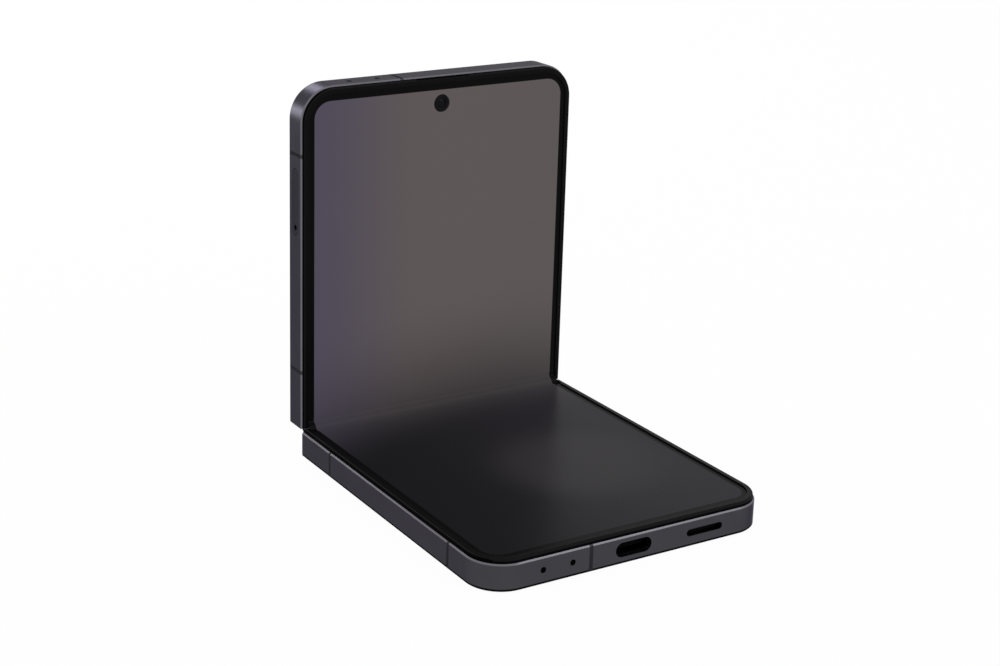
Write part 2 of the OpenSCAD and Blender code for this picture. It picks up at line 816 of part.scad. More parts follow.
module battery(l, v) translate([-battery_w / 2, v, battery_h]) cube([battery_w, l, battery_t]);

module lower_battery() color("#2b2b30") in_lower() battery(battery_l, battery_v);

low_board_x1 = usb_w;

module charging_board() color("#1f4d33") in_lower()
  translate([low_board_x1 - low_board_l, board_v, ceiling - board_t])
    cube([low_board_l, inner_v - board_v - part_gap / 2, board_t]);

module usb_receptacle() color("#b9b9bd") in_lower() difference() {
  translate([0, half_l - usb_back, port_h]) rotate([90, 0, 0]) linear_extrude(usb_depth)
    stadium(usb_w + 2 * usb_wall, usb_h + 2 * usb_wall);
  translate([0, half_l + 1, port_h]) rotate([90, 0, 0])
    linear_extrude(1 + usb_back + usb_depth - usb_wall) stadium(usb_w, usb_h);
}

module usb_tongue() color("#202024") in_lower() {
  tongue_w = 0.8 * usb_w;
  tongue_t = 0.7;
  translate([-tongue_w / 2, usb_v + usb_wall, port_h - tongue_t / 2])
    cube([tongue_w, usb_depth - usb_wall - 0.8, tongue_t]);
}

module loudspeaker() color("#26262a") in_lower() intersection() {
  translate([low_board_x1 + part_gap, board_v, floor_h])
    cube([half_w, inner_v - board_v - part_gap, ceiling - floor_h]);
  slab(wall_t + inner_gap, 0, 0, frame_t);
}

module speaker_mesh() color("#161616") in_lower()
  translate([speaker_x, half_l - wall_t, port_h]) rotate([90, 0, 0])
    linear_extrude(0.2) stadium(speaker_slot_l + 1, speaker_slot_h + 1);

module vibration_motor() color("#8d8d92") in_lower()
  translate([-battery_w / 2 + motor_r + 2, board_v + motor_r + 2, floor_h])
    cylinder(r = motor_r, h = motor_h);

module microphones() for (x = mic_x)
  translate([-x - mic_l / 2, half_l - wall_t - 0.1 - mic_t, port_h - mic_h / 2])
    cube([mic_l, mic_t, mic_h]);

module bottom_microphones() color("#c2b280") in_lower() microphones();

module charging_coil() color("#b87333") in_lower()
  translate([0, battery_v + battery_l / 2, floor_h]) difference() {
    cylinder(r = charge_r, h = coil_t);
    translate([0, 0, -1]) cylinder(r = charge_r - charge_w, h = coil_t + 2);
  }

module screws(xs) both_sides() for (x = xs) translate([x, screw_v, 0]) {
  translate([0, 0, arm_lo - head_t]) cylinder(r = head_r, h = head_t);
  translate([0, 0, arm_lo - 0.05]) cylinder(r = screw_r, h = arm_plate_t + mid_t - thread_end - 0.05);
}

module lower_hinge_screws() color("silver") in_lower() screws(lower_xs);

module lower_hinge_arms() color("#9a9a9e") in_lower() both_sides() rail_arm(arm_x);

// The spine's angle a becomes 180 - a in the mirrored lower half, less the turn
module lower_sync_arms() color("#b0a890") in_lower() both_sides()
  sync_arm(sector_x, 180 - (phase_a + rest_turn));

module lower_wing_plate() color("#8a8a90") in_lower() wing_plate();

// ---------------------------------------------------------------- spine

module spine_cover() color("#4a484e") in_spine() difference() {
  along_x(0, 2 * spine_half) spine_section(spine_r, spine_edge);
  along_x(0, 2 * (spine_half - spine_wall)) spine_section(spine_in_r, spine_edge + 1);
}

module hinge_brackets() color("#77777c") in_spine() both_sides() bracket();

module lower_idler_gears() color("#c8b070") in_spine() both_sides() idler(-1, phase_b);

module upper_idler_gears() color("#c8b070") in_spine() both_sides() idler(1, phase_c);

module cam_followers() color("#8d8d92") in_spine() both_sides() follower();

module detent_springs() color("#d0d0d4") in_spine() both_sides()
  for (s = [-1, 1]) translate([0, s * idler_u, idler_s]) spring();

// Flat cable that lies in the spine, looped up towards both halves
module flex_cable() color("#a06428") in_spine() {
  cable_t = 0.15;
  cable_w = 0.4 * half_w;
  along_x(0, cable_w) intersection() {
    difference() {
      spine_section(spine_in_r - seat_gap, bracket_top);
      spine_section(spine_in_r - seat_gap - cable_t, bracket_top + 1);
    }
  }
}

// ---------------------------------------------------------------- upper half

module upper_frame() color("#4a484e") in_upper() difference() {
  half_frame();
  upper_bands();
  mic_holes();
  foot_holes(upper_xs);
  // card tray slot
  translate([-half_w - 1, tray_v, port_h]) rotate([90, 0, 90])
    linear_extrude(wall_t + 1.5) stadium(tray_l + 2 * slot_gap, tray_h + 2 * slot_gap);
  key_slot(power_v, power_l);
  key_slot(volume_v, volume_l);
  ear_slit();
  translate([0, half_l - selfie_end, mid_lo - 1]) cylinder(r = selfie_r + camera_gap, h = mid_t + 2);
}

module key_slot(v, l) translate([half_w - wall_t - 0.5, v, port_h]) rotate([90, 0, 90])
  linear_extrude(wall_t + 1.5) stadium(l + 2 * slot_gap, key_h + 2 * slot_gap);

module upper_back_cover() color("#2e2d31") in_upper() difference() {
  back_plate();
  for (x = lens_xs) translate([x, lens_v, -1]) cylinder(r = ring_r - ring_seat + seat_gap, h = back_t + 2);
  translate([flash_x, lens_v, -1]) cylinder(r = flash_r + seat_gap, h = back_t + 2);
}

module upper_bezel() color("#151515") in_upper() difference() {
  half_bezel();
  ear_slit();
}

module upper_antenna_bands() color("#37363a") in_upper() band_solid() upper_bands();

module upper_display() color("#5b5659") in_upper() difference() {
  display_panel();
  translate([0, half_l - selfie_end, disp_h - 1]) cylinder(r = selfie_r + seat_gap, h = 2);
}

module upper_display_bend() color("#5b5659") in_upper() display_bend();

module upper_support_plate() color("silver") in_upper() difference() {
  support_plate();
  translate([0, half_l - selfie_end, disp_h - 2]) cylinder(r = selfie_r + camera_gap, h = 2);
}

module upper_battery() color("#2b2b30") in_upper() battery(small_battery_l, battery_v);

module upper_hinge_screws() color("silver") in_upper() screws(upper_xs);

module upper_hinge_arms() color("#9a9a9e") in_upper() both_sides() rail_arm(arm_x - arm_step);

module upper_sync_arms() color("#b0a890") in_upper() both_sides()
  sync_arm(sector_x - sector_step, phase_d - rest_turn);

module upper_wing_plate() color("#8a8a90") in_upper() wing_plate();

// Main board, cut out round the cameras
module main_board() color("#1f4d33") in_upper() difference() {
  end_room = 6;
  translate([board_x0, upper_board_v, ceiling - board_t])
    cube([board_x1 - board_x0, inner_v - end_room - upper_board_v, board_t]);
  for (x = lens_xs) translate([x, lens_v, 0]) cylinder(r = module_r + inner_gap, h = frame_t);
  translate([0, half_l - selfie_end, 0]) cylinder(r = selfie_r + 5 * camera_gap, h = frame_t);
}

module board_shield() color("#a8a8ad") in_upper() {
  edge = 2 * part_gap;
  translate([board_x0 + edge, upper_board_v + part_gap, ceiling - board_t - seat_gap - shield_t])
    cube([board_x1 - board_x0 - 2 * edge, lens_v - module_r - upper_board_v - 2.5 * part_gap, shield_t]);
}

module cover_display() color("#111114") in_upper()
  translate([-battery_w / 2, beam_end + back_t, back_t + hole_gap])
    cube([battery_w, lens_v - ring_r - 2 * part_gap - beam_end - back_t, coil_t]);

module front_camera() color("#0c0c10") in_upper()
  translate([0, half_l - selfie_end, mid_lo - 0.4]) cylinder(r = selfie_r, h = disp_h - mid_lo + camera_gap);

module earpiece() color("#18181a") in_upper()
  translate([-ear_l / 2, half_l - wall_t - 0.15 - ear_t, floor_h + part_gap])
    cube([ear_l, ear_t, battery_t - part_gap]);

module top_microphones() color("#c2b280") in_upper() microphones();

module rear_camera_modules() color("#1c1c20") in_upper() for (x = lens_xs)
  translate([x, lens_v, back_t / 2]) cylinder(r = module_r, h = ceiling - back_t / 2 - seat_gap);

module camera_rings() color("#56545a") in_upper() for (x = lens_xs)
  translate([x, lens_v, 0]) rotate_extrude() polygon([
    [module_r + 2 * seat_gap, back_t], [module_r + 2 * seat_gap, ring_edge - ring_proud],
    [ring_r - ring_face, -ring_proud], [ring_r - ring_edge, -ring_proud],
    [ring_r, ring_edge - ring_proud], [ring_r, 0], [ring_r - ring_seat, 0], [ring_r - ring_seat, back_t]
  ]);

module camera_windows() color("#08080c") in_upper() for (x = lens_xs)
  translate([x, lens_v, ring_edge + seat_gap - ring_proud]) cylinder(r = module_r + seat_gap, h = window_t);

module flash_lens() color("#e8e2d0") in_upper()
  translate([flash_x, lens_v, 0]) cylinder(r = flash_r, h = back_t + inner_gap);

// Shield box that the card tray slides into, open at the frame
module card_socket() color("#a8a8ad") in_upper() difference() {
  w = socket_x1 - socket_x0;
  h = socket_h - 2 * socket_t;
  translate([socket_x0, tray_v - tray_l / 2, port_h - socket_h / 2]) cube([w, tray_l - 0.4, socket_h]);
  translate([socket_x0 - 1, tray_v - tray_l / 2 + socket_t, port_h - h / 2])
    cube([w + 1 - socket_t, tray_l - 0.4 - 2 * socket_t, h]);
}

// Tray with a head in the frame's wall, a pocket for the card and the eject hole
module card_tray() color("#4a484e") in_upper() difference() {
  blade_t = 0.8;
  blade_v = tray_v - tray_l / 2 + 0.6;
  blade_w = tray_l - 1.6;
  card_edge = 1;
  union() {
    translate([-half_w + hole_gap, tray_v, port_h]) rotate([90, 0, 90])
      linear_extrude(wall_t - tray_seat) stadium(tray_l, tray_h);
    translate([-half_w + wall_t - tray_seat - 0.1, blade_v, port_h - blade_t / 2])
      cube([tray_depth - 1.6, blade_w, blade_t]);
  }
  translate([-half_w + wall_t + 1.2, blade_v + card_edge, port_h - 0.15])
    cube([tray_depth - 5, blade_w - 2 * card_edge, blade_t]);
  translate([-half_w - 1, tray_v - eject_off, port_h]) rotate([0, 90, 0])
    cylinder(r = eject_r, h = wall_t + 1);
}

// Key with a rounded-off face, and a flange inside that lies gap below the wall
module side_key(v, l, proud, gap) translate([half_w, v, port_h]) rotate([90, 0, 90]) {
  base = -wall_t - gap - flange_t;
  translate([0, 0, base]) linear_extrude(flange_t) stadium(l + 2 * flange_edge, key_h + flange_edge);
  translate([0, 0, base]) linear_extrude(proud - key_edge - base) stadium(l, key_h);
  translate([0, 0, proud - key_edge - 0.01]) linear_extrude(key_edge + 0.01)
    stadium(l - 2 * key_edge, key_h - 2 * key_edge);
}

module power_key() color("#3b3a3f") in_upper() side_key(power_v, power_l, 0, seat_gap);

module volume_key() color("#4a484e") in_upper() side_key(volume_v, volume_l, key_proud, rock_gap);

module key_switches() color("#c9b458") in_upper() {
  x = half_w - wall_t - rock_gap - flange_t - key_travel - 0.15 - switch_t;
  strip_h = switch_h + 0.8;
  for (v = [power_v, volume_v - volume_l / 3, volume_v + volume_l / 3])
    translate([x, v - switch_l / 2, port_h - switch_h / 2]) cube([switch_t, switch_l, switch_h]);
  translate([x - strip_t, power_v - strip_end, port_h - strip_h / 2])
    cube([strip_t, volume_v + volume_l / 3 - power_v + 2 * strip_end, strip_h]);
}

lower_frame();
lower_back_cover();
lower_bezel();
lower_antenna_bands();
lower_display();
lower_support_plate();
lower_battery();
charging_board();
usb_receptacle();
usb_tongue();
loudspeaker();
speaker_mesh();
vibration_motor();
bottom_microphones();
charging_coil();
lower_hinge_arms();
lower_sync_arms();
lower_hinge_screws();
lower_wing_plate();
lower_display_bend();
spine_cover();
hinge_brackets();
lower_idler_gears();
upper_idler_gears();
cam_followers();
detent_springs();
flex_cable();
upper_frame();
upper_back_cover();
upper_bezel();
upper_antenna_bands();
upper_display();
upper_support_plate();
upper_battery();
main_board();
board_shield();
upper_hinge_arms();
upper_sync_arms();
upper_hinge_screws();
upper_wing_plate();
upper_display_bend();
cover_display();
front_camera();
earpiece();
top_microphones();
rear_camera_modules();
camera_rings();
camera_windows();
flash_lens();
card_socket();
card_tray();
power_key();
volume_key();
key_switches();
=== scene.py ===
import bmesh
import bpy
import json
import math
from mathutils import Matrix, Vector

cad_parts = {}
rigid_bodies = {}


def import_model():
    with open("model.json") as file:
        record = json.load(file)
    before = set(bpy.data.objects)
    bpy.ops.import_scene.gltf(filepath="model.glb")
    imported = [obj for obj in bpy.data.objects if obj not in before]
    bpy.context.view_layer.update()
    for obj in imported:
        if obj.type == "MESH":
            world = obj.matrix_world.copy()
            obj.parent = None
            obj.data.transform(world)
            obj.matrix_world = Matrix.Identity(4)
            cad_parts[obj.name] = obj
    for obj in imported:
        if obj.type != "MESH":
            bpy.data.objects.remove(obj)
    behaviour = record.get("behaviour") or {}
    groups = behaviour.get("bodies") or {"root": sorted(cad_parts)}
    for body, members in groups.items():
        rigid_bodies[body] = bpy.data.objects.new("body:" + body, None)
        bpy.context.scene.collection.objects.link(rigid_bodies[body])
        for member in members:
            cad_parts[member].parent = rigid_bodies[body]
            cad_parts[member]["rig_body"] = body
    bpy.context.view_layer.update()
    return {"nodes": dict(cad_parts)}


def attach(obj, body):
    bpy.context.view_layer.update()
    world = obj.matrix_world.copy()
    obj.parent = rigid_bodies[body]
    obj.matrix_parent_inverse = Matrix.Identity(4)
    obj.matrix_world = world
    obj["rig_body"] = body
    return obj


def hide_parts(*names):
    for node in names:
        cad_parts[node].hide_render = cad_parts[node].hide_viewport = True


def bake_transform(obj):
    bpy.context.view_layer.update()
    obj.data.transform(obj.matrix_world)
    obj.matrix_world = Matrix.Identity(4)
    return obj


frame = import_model()
nodes = frame["nodes"]
scene = bpy.context.scene
mm = 0.001

# sizes of the phone that several pieces share, in millimetres
phone = dict(
    halfLength=81.0, halfWidth=35.95, cornerRadius=8.0,
    screenHeight=6.95, screenThickness=0.5, screenInset=1.4, bendLength=3.0, thinLength=6.6, thinThickness=0.2,
    axisOffset=1.5, axisHeight=5.95, restTurn=45.0,
)
rear = dict(across=(24.95, 10.75), fromFold=70.0, flashAcross=-0.25, radius=5.2, top=5.55)
foldY = phone["halfLength"] / 2
lowerAxis = Vector((0, foldY - phone["axisOffset"], phone["axisHeight"]))
spineSpan = 2 * phone["axisOffset"] * math.cos(math.radians(phone["restTurn"]))
upperAxis = lowerAxis + Vector((0, spineSpan, spineSpan))


def onLower(x, v, w):
    # across, from the fold, above the back: placed on the lower half
    return Vector((x, foldY - v, w)) * mm


def onUpper(x, v, w):
    # the same coordinates on the upper half, which stands up at rest
    return Vector((x, upperAxis.y - (w - phone["axisHeight"]), upperAxis.z + v - phone["axisOffset"])) * mm


# materials

def rgb(code):
    # sRGB hex to linear colour
    parts = [int(code[i:i + 2], 16) / 255 for i in (1, 3, 5)]
    return [c / 12.92 if c <= 0.04045 else ((c + 0.055) / 1.055) ** 2.4 for c in parts] + [1.0]


def addNode(tree, kind, settings=None, links=None):
    # one node, with its properties or socket values and what feeds it
    node = tree.nodes.new(kind)
    for key, value in (settings or {}).items():
        if isinstance(key, int) or key in node.inputs:
            node.inputs[key].default_value = value
        else:
            setattr(node, key, value)
    for key, source in (links or {}).items():
        tree.links.new(source, node.inputs[key])
    return node


def newMaterial(name, **surface):
    # a Principled surface whose plain numbers sit on its own sockets
    material = bpy.data.materials.new(name)
    material.use_nodes = True
    tree = material.node_tree
    shader = tree.nodes["Principled BSDF"]
    for key, value in surface.items():
        shader.inputs[{
            "color": "Base Color", "metallic": "Metallic", "roughness": "Roughness", "ior": "IOR",
            "specular": "Specular IOR Level", "coat": "Coat Weight", "coatRoughness": "Coat Roughness",
            "transmission": "Transmission Weight", "glow": "Emission Strength", "edgeTint": "Specular Tint",
        }[key]].default_value = value
    return material, tree, shader


def grain(tree, shader, size, depth, roughness, spread):
    # fine surface grain: size of a grain in mm, its depth in mm, roughness and how far it varies
    place = addNode(tree, "ShaderNodeTexCoord")
    noise = addNode(tree, "ShaderNodeTexNoise", {"Scale": 1 / (size * mm), "Detail": 2.0},
                    {"Vector": place.outputs["Object"]})
    bump = addNode(tree, "ShaderNodeBump", {"Distance": depth * mm}, {"Height": noise.outputs["Fac"]})
    tree.links.new(bump.outputs["Normal"], shader.inputs["Normal"])
    rough = addNode(tree, "ShaderNodeMapRange", {"To Min": roughness - spread, "To Max": roughness + spread},
                    {"Value": noise.outputs["Fac"]})
    tree.links.new(rough.outputs["Result"], shader.inputs["Roughness"])
    return place


def mottle(tree, shader, low, high, size, place):
    # slow colour variation between two shades, over patches of the given size in mm
    cloud = addNode(tree, "ShaderNodeTexNoise", {"Scale": 1 / (size * mm), "Detail": 3.0},
                    {"Vector": place.outputs["Object"]})
    mix = addNode(tree, "ShaderNodeMix", {"data_type": "RGBA"})
    mix.inputs[6].default_value, mix.inputs[7].default_value = low, high
    tree.links.new(cloud.outputs["Fac"], mix.inputs["Factor"])
    tree.links.new(mix.outputs[2], shader.inputs["Base Color"])


def anodisedAluminium(name, low, high, roughness, edgeTint="#b1b0b3"):
    # bead-blasted, then dyed in an anodising bath: satin, the blast drawn at 0.12 mm so that it shows
    # the oxide film absorbs, so the metal stays dark at a glancing angle
    material, tree, shader = newMaterial(name, metallic=1.0, edgeTint=rgb(edgeTint))
    place = grain(tree, shader, 0.12, 0.0012, roughness, 0.04)
    mottle(tree, shader, rgb(low), rgb(high), 6.0, place)
    return material


def mouldedPolymer(name, low, high, roughness, size=0.3, depth=0.004, specular=0.5):
    # injection moulded: the tool's fine spark-eroded grain
    material, tree, shader = newMaterial(name, specular=specular)
    place = grain(tree, shader, size, depth, roughness, 0.05)
    mottle(tree, shader, rgb(low), rgb(high), 4.0, place)
    return material


def rolledSteel(name, low, high, roughness, stretch=(1.0, 14.0, 14.0)):
    # stamped from rolled strip: fine lines along one direction
    size, depth, spread = 1.2, 0.003, 0.08
    material, tree, shader = newMaterial(name, metallic=1.0)
    place = addNode(tree, "ShaderNodeTexCoord")
    turn = addNode(tree, "ShaderNodeMapping", {"Scale": stretch}, {"Vector": place.outputs["Object"]})
    lines = addNode(tree, "ShaderNodeTexNoise", {"Scale": 1 / (size * mm), "Detail": 3.0},
                    {"Vector": turn.outputs["Vector"]})
    rough = addNode(tree, "ShaderNodeMapRange", {"To Min": roughness - spread, "To Max": roughness + spread},
                    {"Value": lines.outputs["Fac"]})
    tree.links.new(rough.outputs["Result"], shader.inputs["Roughness"])
    bump = addNode(tree, "ShaderNodeBump", {"Strength": 0.6, "Distance": depth * mm},
                   {"Height": lines.outputs["Fac"]})
    tree.links.new(bump.outputs["Normal"], shader.inputs["Normal"])
    mottle(tree, shader, rgb(low), rgb(high), 8.0, place)
    return material


# frames, chamfers on the display's side, cut bright and lighter still as a painted highlight, back edges
# darkened as painted shade, keys with the card tray, and the spine
frameMetal = anodisedAluminium("anodised-aluminium-graphite", "#3f3e43", "#454449", 0.34)
# painted highlight: the display-side chamfers take a lighter copy of the frame metal, partly their bright cut
# and partly a painted highlight
cutEdgeHighlightMetal = anodisedAluminium("diamond-cut-aluminium-edge-painted-highlight", "#66646a", "#6e6c72", 0.3, "#c9c8cb")
# painted shade: a darker copy of the frame metal on the back chamfers and the strip along the back
backEdgeShadeMetal = anodisedAluminium("anodised-aluminium-back-edge-painted-shade", "#101012", "#141416", 0.3, "#6a696c")
keyMetal = anodisedAluminium("anodised-aluminium-keys", "#38373c", "#3e3d42", 0.34)
spineMetal = anodisedAluminium("anodised-aluminium-spine", "#39383d", "#3f3e43", 0.3)
# the rim round the display: its top in its own black, then copies with painted light: a lighter outer shoulder
# as painted sheen, a black wall in the groove as painted shade and a dull inner shoulder as painted shade
rimRubber = mouldedPolymer("thermoplastic-urethane-rim", "#09090a", "#0d0d0e", 0.42, 0.2, 0.003, 0.04)
# painted sheen: a lighter copy of the rim on its outer shoulders, and on the lower half on the front wall above
# the groove
rimShoulderSheen = mouldedPolymer("thermoplastic-urethane-rim-shoulder-painted-sheen", "#151516", "#19191a", 0.6, 0.2, 0.002, 0.03)
# painted shade: a black copy of the rim on its wall in the groove
grooveShadeRubber = mouldedPolymer("thermoplastic-urethane-rim-wall-painted-shade", "#040405", "#070708", 0.8, 0.2, 0.002, 0.01)
# painted shade: a duller copy of the rim with no reflection, on the inner shoulder
rimInsideShade = mouldedPolymer("thermoplastic-urethane-rim-inside-painted-shade", "#0d0d0e", "#121213", 0.8, 0.2, 0.002, 0.0)
# tongue of the charging port, antenna bands and their chamfers, which are lighter as a painted highlight, small
# housings, circuit boards
tongueResin = mouldedPolymer("glass-filled-connector-tongue", "#040405", "#070708", 0.6, 0.2, 0.003, 0.02)
bandResin = mouldedPolymer("moulded-pbt-band", "#2d2c30", "#333236", 0.7, 0.3, 0.004, 0.0)
# painted highlight: a lighter copy of the band resin on the band chamfers
bandEdgeHighlightResin = mouldedPolymer("moulded-pbt-band-edge-painted-highlight", "#47464a", "#4e4d51", 0.7, 0.3, 0.002, 0.0)
blackPolymer = mouldedPolymer("moulded-black-pc", "#131315", "#1b1b1e", 0.5)
boardResin = mouldedPolymer("board-solder-resist", "#12382a", "#1a4634", 0.35, 0.6, 0.01)
# plates with arms and screws, gears, shell of the charging port, darkened as painted shade inside the port,
# springs, shield cans
stripSteel = rolledSteel("rolled-stainless-strip", "#8f8f94", "#a3a3a8", 0.32)
gearSteel = rolledSteel("sintered-steel-gear", "#9d927a", "#aca188", 0.3, (4.0, 4.0, 4.0))
# painted shade: the plated shell is given a near-black colour for the shade inside the port
portShellShadeSteel = rolledSteel("nickel-plated-connector-shell-painted-shade", "#161617", "#1d1d1f", 0.4)
springWire = rolledSteel("drawn-spring-wire", "#9a9aa0", "#b5b5ba", 0.22, (6.0, 6.0, 6.0))
shieldTin = rolledSteel("tinned-shield-sheet", "#a2a3a6", "#b8b9bb", 0.36, (14.0, 1.0, 14.0))


def rampOf(tree, source, low, high):
    # colours from low to high as a pattern's value goes from 0 to 1
    ramp = addNode(tree, "ShaderNodeValToRGB", {}, {"Fac": source})
    ramp.color_ramp.elements[0].color, ramp.color_ramp.elements[1].color = rgb(low), rgb(high)
    return ramp


def woundCopper():
    # enamelled copper wire wound flat in a spiral, 0.6 mm from turn to turn
    coil = dict(middleY=-0.0045, ringScale=3.4, depth=0.05)
    material, tree, shader = newMaterial("enamelled-copper-winding", metallic=1.0, roughness=0.3)
    place = addNode(tree, "ShaderNodeTexCoord")
    middle = addNode(tree, "ShaderNodeMapping", {"Location": (0, -coil["middleY"], 0)},
                     {"Vector": place.outputs["Object"]})
    rings = addNode(tree, "ShaderNodeTexWave",
                    {"wave_type": "RINGS", "rings_direction": "Z", "Scale": 1 / (coil["ringScale"] * mm)},
                    {"Vector": middle.outputs["Vector"]})
    ramp = rampOf(tree, rings.outputs["Fac"], "#5b2f18", "#c0764a")
    tree.links.new(ramp.outputs["Color"], shader.inputs["Base Color"])
    bump = addNode(tree, "ShaderNodeBump", {"Distance": coil["depth"] * mm}, {"Height": rings.outputs["Fac"]})
    tree.links.new(bump.outputs["Normal"], shader.inputs["Normal"])
    return material


def batteryFilm():
    # laminated pouch under a black polyester film: soft sheen with slow waves
    material, tree, shader = newMaterial("polyester-battery-film", specular=0.4)
    place = grain(tree, shader, 3.0, 0.03, 0.38, 0.06)
    mottle(tree, shader, rgb("#17171a"), rgb("#202024"), 12.0, place)
    return material


def polyimideFilm():
    # etched copper tracks under amber polyimide, 0.8 mm from track to track
    trackScale = 5.0
    material, tree, shader = newMaterial("polyimide-flex-film", roughness=0.3)
    place = addNode(tree, "ShaderNodeTexCoord")
    tracks = addNode(tree, "ShaderNodeTexWave", {"bands_direction": "X", "Scale": 1 / (trackScale * mm)},
                     {"Vector": place.outputs["Object"]})
    ramp = rampOf(tree, tracks.outputs["Fac"], "#6b3c12", "#a8662a")
    tree.links.new(ramp.outputs["Color"], shader.inputs["Base Color"])
    return material


def wovenMesh():
    # hydrophobic woven mesh behind the ports, its threads drawn this many millimetres apart so that they show
    pitch = 0.35
    material, tree, shader = newMaterial("woven-acoustic-mesh", roughness=0.8, specular=0.1)
    place = addNode(tree, "ShaderNodeTexCoord")
    turn = addNode(tree, "ShaderNodeMapping", {"Scale": (1 / (pitch * mm),) * 3},
                   {"Vector": place.outputs["Object"]})
    cells = addNode(tree, "ShaderNodeTexVoronoi", {"Scale": 1.0, "Randomness": 0.0},
                    {"Vector": turn.outputs["Vector"]})
    ramp = rampOf(tree, cells.outputs["Distance"], "#010101", "#0a0a0b")
    tree.links.new(ramp.outputs["Color"], shader.inputs["Base Color"])
    return material


def backGlass():
    # etched glass over a dark violet-grey lacquer: satin face, colour from underneath
    material, tree, shader = newMaterial("etched-back-glass", ior=1.5, coat=0.25, coatRoughness=0.2)
    place = grain(tree, shader, 0.1, 0.0006, 0.34, 0.03)
    mottle(tree, shader, rgb("#3c3a41"), rgb("#434148"), 20.0, place)
    return material


def coverGlass():
    # chemically strengthened cover glass, clear and polished, over a display that is off
    material, tree, shader = newMaterial("polished-cover-glass", ior=1.5)
    place = grain(tree, shader, 2.0, 0.0004, 0.07, 0.02)
    mottle(tree, shader, rgb("#050506"), rgb("#08080a"), 15.0, place)
    return material


def clearGlass():
    # sapphire-like window over a rear camera, with a thin anti-reflection coating and faint finger smears
    smearSize, smearRoughness = 2.0, 0.04
    material, tree, shader = newMaterial("clear-camera-window", transmission=1.0, ior=1.35)
    place = addNode(tree, "ShaderNodeTexCoord")
    smear = addNode(tree, "ShaderNodeTexNoise", {"Scale": 1 / (smearSize * mm)},
                    {"Vector": place.outputs["Object"]})
    rough = addNode(tree, "ShaderNodeMapRange", {"To Min": 0.0, "To Max": smearRoughness},
                    {"Value": smear.outputs["Fac"]})
    tree.links.new(rough.outputs["Result"], shader.inputs["Roughness"])
    return material


def flashDiffuser(x, v):
    # frosted silicone over the diodes, pressed with fresnel rings 0.35 mm apart
    ringScale, ringDepth = 2.2, 0.08
    material, tree, shader = newMaterial("frosted-flash-diffuser", roughness=0.35)
    place = addNode(tree, "ShaderNodeTexCoord")
    middle = onUpper(x, v, 0)
    shift = addNode(tree, "ShaderNodeMapping", {"Location": (-middle.x, 0, -middle.z)},
                    {"Vector": place.outputs["Object"]})
    rings = addNode(tree, "ShaderNodeTexWave",
                    {"wave_type": "RINGS", "rings_direction": "Y", "Scale": 1 / (ringScale * mm)},
                    {"Vector": shift.outputs["Vector"]})
    bump = addNode(tree, "ShaderNodeBump", {"Distance": ringDepth * mm}, {"Height": rings.outputs["Fac"]})
    tree.links.new(bump.outputs["Normal"], shader.inputs["Normal"])
    mottle(tree, shader, rgb("#b9ad8c"), rgb("#d8cfb4"), 0.8, place)
    return material


windingCopper = woundCopper()
pouchFilm = batteryFilm()
flexFilm = polyimideFilm()
portMesh = wovenMesh()
lacquerGlass = backGlass()
displayGlass = coverGlass()
windowGlass = clearGlass()
diffuser = flashDiffuser(rear["flashAcross"], rear["fromFold"])
print("materials made")


# CAD nodes that keep their shape

def dress(names, material):
    # one material for CAD nodes that keep their mesh
    for name in names:
        node = nodes[name]
        node.data.materials.clear()
        node.data.materials.append(material)


dress(["lower_support_plate", "upper_support_plate", "lower_hinge_arms", "upper_hinge_arms",
       "lower_hinge_screws", "upper_hinge_screws", "lower_wing_plate", "upper_wing_plate",
       "hinge_brackets", "cam_followers", "vibration_motor"], stripSteel)
dress(["usb_receptacle"], portShellShadeSteel)
dress(["lower_sync_arms", "upper_sync_arms", "lower_idler_gears", "upper_idler_gears"], gearSteel)
dress(["detent_springs"], springWire)
dress(["board_shield", "card_socket"], shieldTin)
dress(["charging_board", "main_board", "bottom_microphones", "top_microphones", "key_switches"], boardResin)
dress(["charging_coil"], windingCopper)
dress(["lower_battery", "upper_battery"], pouchFilm)
dress(["flex_cable"], flexFilm)
dress(["speaker_mesh"], portMesh)
dress(["loudspeaker", "earpiece", "cover_display"], blackPolymer)
dress(["usb_tongue"], tongueResin)
print("CAD nodes dressed")


# machined and moulded shells: merged copies with softened edges

# sharp edges are marked above one angle and rounded above another, in degrees; vertices closer than weld join;
# backStrip and grooveTop are heights above the back, grooveSide is a share of looking sideways: under backStrip
# the lower frame's side takes painted shade, under grooveTop and past grooveSide the lower rim's wall takes
# painted shade, and above grooveTop at the front a painted sheen
edges = dict(
    weld=0.002, flat=0.5, sharp=24.0, rounded=30.0, segments=2,
    backStrip=0.74, grooveTop=6.65, grooveSide=0.7,
)
strips = {"lower_frame": edges["backStrip"], "lower_bezel": edges["grooveTop"]}


def heightOf(name, point):
    # how far a point lies above the back of the half that a node belongs to, in millimetres
    return phone["axisHeight"] - (point.y / mm - upperAxis.y) if name.startswith("upper") else point.z / mm


def cutStrip(work, height):
    # an edge line round a piece of the lower half, so that its side can take painted shade under the line, and
    # on the rim a painted sheen above it
    bmesh.ops.bisect_plane(work, geom=work.verts[:] + work.edges[:] + work.faces[:], dist=1e-7,
                           plane_co=onLower(0, 0, height), plane_no=(0, 0, 1))


def shadeByLean(mesh, name, shades):
    # faces beyond the fold that have an entry's lean and pass its test take its material
    upper = name.startswith("upper")
    front = Vector((0, -1, 0)) if upper else Vector((0, 0, 1))
    middle = onUpper(0, phone["halfLength"] / 2, 0) if upper else onLower(0, phone["halfLength"] / 2, 0)
    for (low, high), chosen, material in shades:
        mesh.materials.append(material)
        for face in mesh.polygons:
            fromFold = face.center.z / mm - upperAxis.z if upper else lowerAxis.y - face.center.y / mm
            out = face.center - middle
            inward = (out - front * out.dot(front)).dot(face.normal) < 0
            fits = chosen(heightOf(name, face.center), inward, abs(face.normal.x))
            if fromFold > 0 and low < face.normal.dot(front) < high and fits:
                face.material_index = len(mesh.materials) - 1


